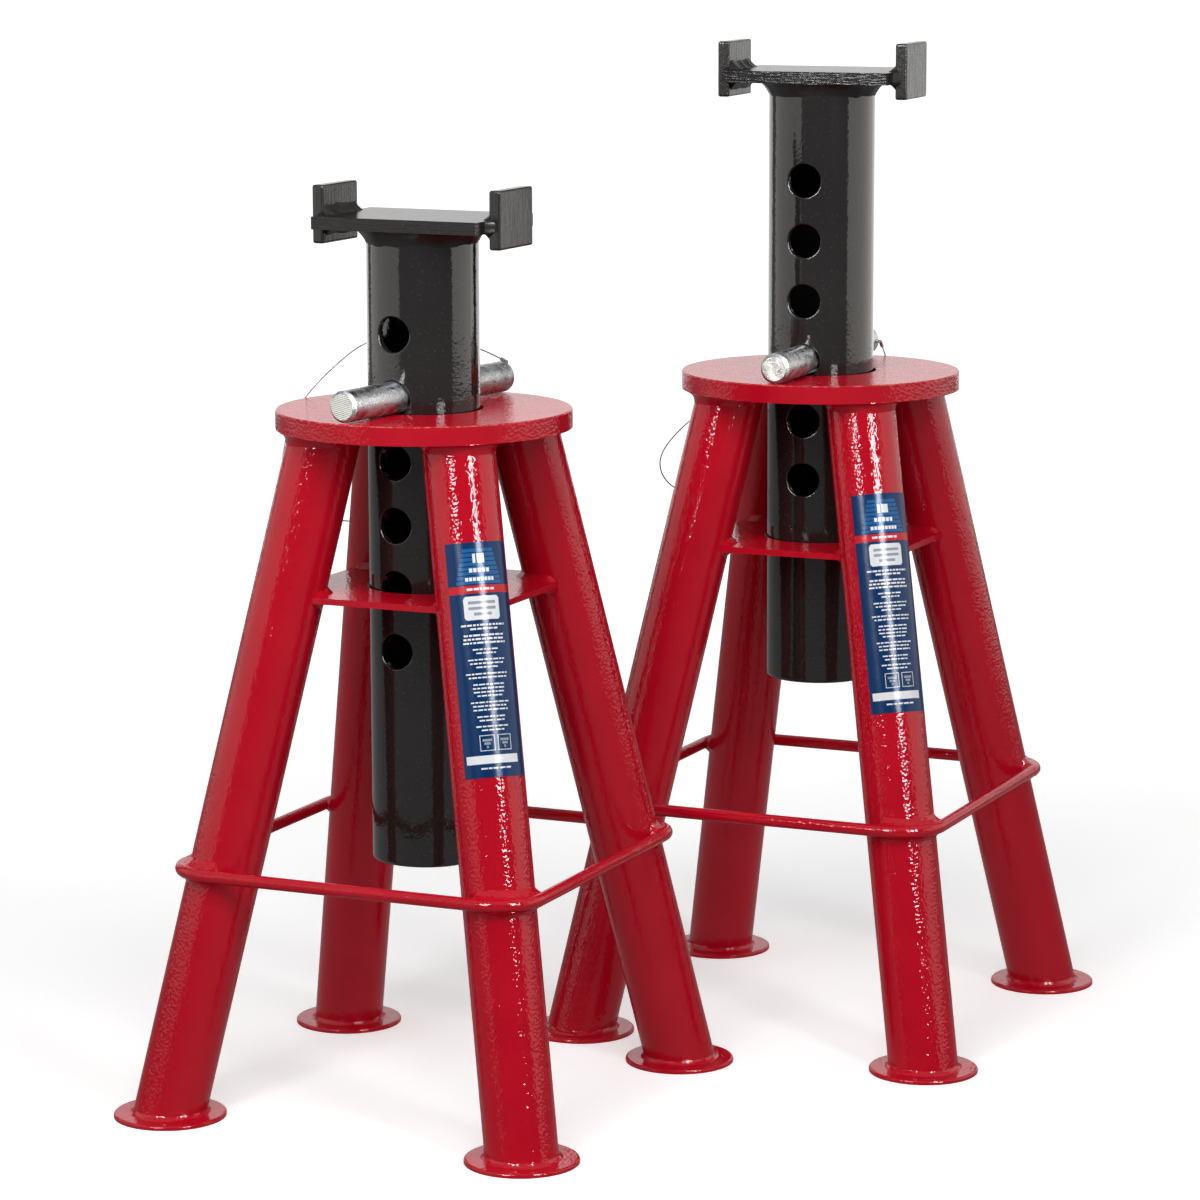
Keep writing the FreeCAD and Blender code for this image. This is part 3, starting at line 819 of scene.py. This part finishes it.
def upright(name, azimuth, distance, bottom, top, width, radiance, glossy):
    """An upright lamp that faces the object from an azimuth, between two heights."""
    level = (bottom + top) / 2
    place = direction(CAMERA["azimuth"] + azimuth, 0) * distance + UP * level
    return lamp(name, place, UP * level, width, top - bottom, radiance, glossy)


# How bright the studio's floor, far walls and ceiling look in the paint, by the sine of the
# elevation. The lit walls near the object are lamps.
UPWARD = ((-1, 0.3), (-0.25, 0.42), (-0.12, 0.28), (-0.02, 0.25), (0.04, 0.1), (0.5, 0.1),
          (0.8, 0.7), (1, 0.7))
SHADE = 0.34                # the plain level that lights the object from all round


def world():
    """White to the eye, a dim even light for matt surfaces, and floor and ceiling for gloss."""
    made = bpy.data.worlds.new("studio")
    made.use_nodes = True
    bpy.context.scene.world = made
    nodes = Nodes(made.node_tree)
    background = made.node_tree.nodes["Background"]
    background.inputs["Color"].default_value = (1, 1, 1, 1)
    rise = nodes.along(nodes.node("TexCoord").outputs["Generated"], UP)
    gloss = nodes.profile(rise, UPWARD)
    rays = nodes.node("LightPath").outputs
    glossy_share = nodes.math("MULTIPLY", rays["Is Glossy Ray"], gloss)
    other_share = nodes.math("MULTIPLY", nodes.math("SUBTRACT", 1, rays["Is Glossy Ray"]), SHADE)
    unseen = nodes.math("ADD", glossy_share, other_share)
    hidden = nodes.math("MULTIPLY", nodes.math("SUBTRACT", 1, rays["Is Camera Ray"]), unseen)
    nodes.feed(background.inputs["Strength"], nodes.math("ADD", hidden, rays["Is Camera Ray"]))


FLOOR_HALF = 60


def floor():
    """A plain pale floor that fades into the white behind it and stays out of reflections."""
    surface = Shader("pale_floor", Roughness=0.9, Specular_IOR_Level=0.0,
                     Emission_Color=(1, 1, 1, 1))
    tone = surface.spread(surface.noise(3, 2), 0.3, 0.7)
    distance = surface.node("VectorMath", operation="LENGTH")
    surface.feed(distance.inputs[0], surface.place)
    glow = surface.spread(distance.outputs["Value"], 0.5, 2.5, 0.42, 0.86)
    material = surface.set(Base_Color=surface.mix(tone, (0.92, 0.92, 0.92, 1),
                                                  (0.94, 0.94, 0.94, 1)),
                           Emission_Strength=glow)
    mesh = bpy.data.meshes.new("floor")
    corners = [(x * FLOOR_HALF, y * FLOOR_HALF, 0)
               for x, y in ((-1, -1), (1, -1), (1, 1), (-1, 1))]
    mesh.from_pydata(corners, [], [(0, 1, 2, 3)])
    mesh.materials.append(material)
    ground = place_object("floor", mesh)
    ground.visible_glossy = False
    ground.visible_diffuse = False


WARM = (1, 0.955, 0.90)     # the colour of the two side walls in the gloss


def lights():
    """Lamps for matt surfaces, and strips and lit walls that only the gloss reflects."""
    upright("left_key", -29, 2.2, 1.14, 2.6, 0.34, 10, False)
    upright("right_key", 34, 2.2, 1.06, 2.6, 0.34, 10, False)
    lamp("overhead_fill", direction(CAMERA["azimuth"] - 8, 0) * 1.15 + UP * 1.75, SUBJECT,
         0.9, 0.9, 4.4, False)
    upright("left_strip", -31, 2.2, 1.02, 2.57, 0.56, 34, True)
    upright("right_strip", 32, 2.2, 0.84, 2.57, 0.56, 38, True)
    upright("back_wall", 180, 2.5, 0.22, 1.6, 4.2, 1.3, True)
    for wall in (upright("left_wall", -86, 2.5, 0.22, 2.3, 4.1, 1.2, True),
                 upright("right_wall", 97, 2.5, 0.22, 2.3, 3.9, 1.65, True)):
        wall.data.color = WARM


camera()
for letter in LETTERS:
    lanyard(letter)
    collars(letter)
    guide_welds(letter)
    ring_welds(letter)
    lug_weld(letter)
    saddle_welds(letter)
    label(letter)
floor()
world()
lights()
bpy.context.scene.view_settings.view_transform = "Standard"
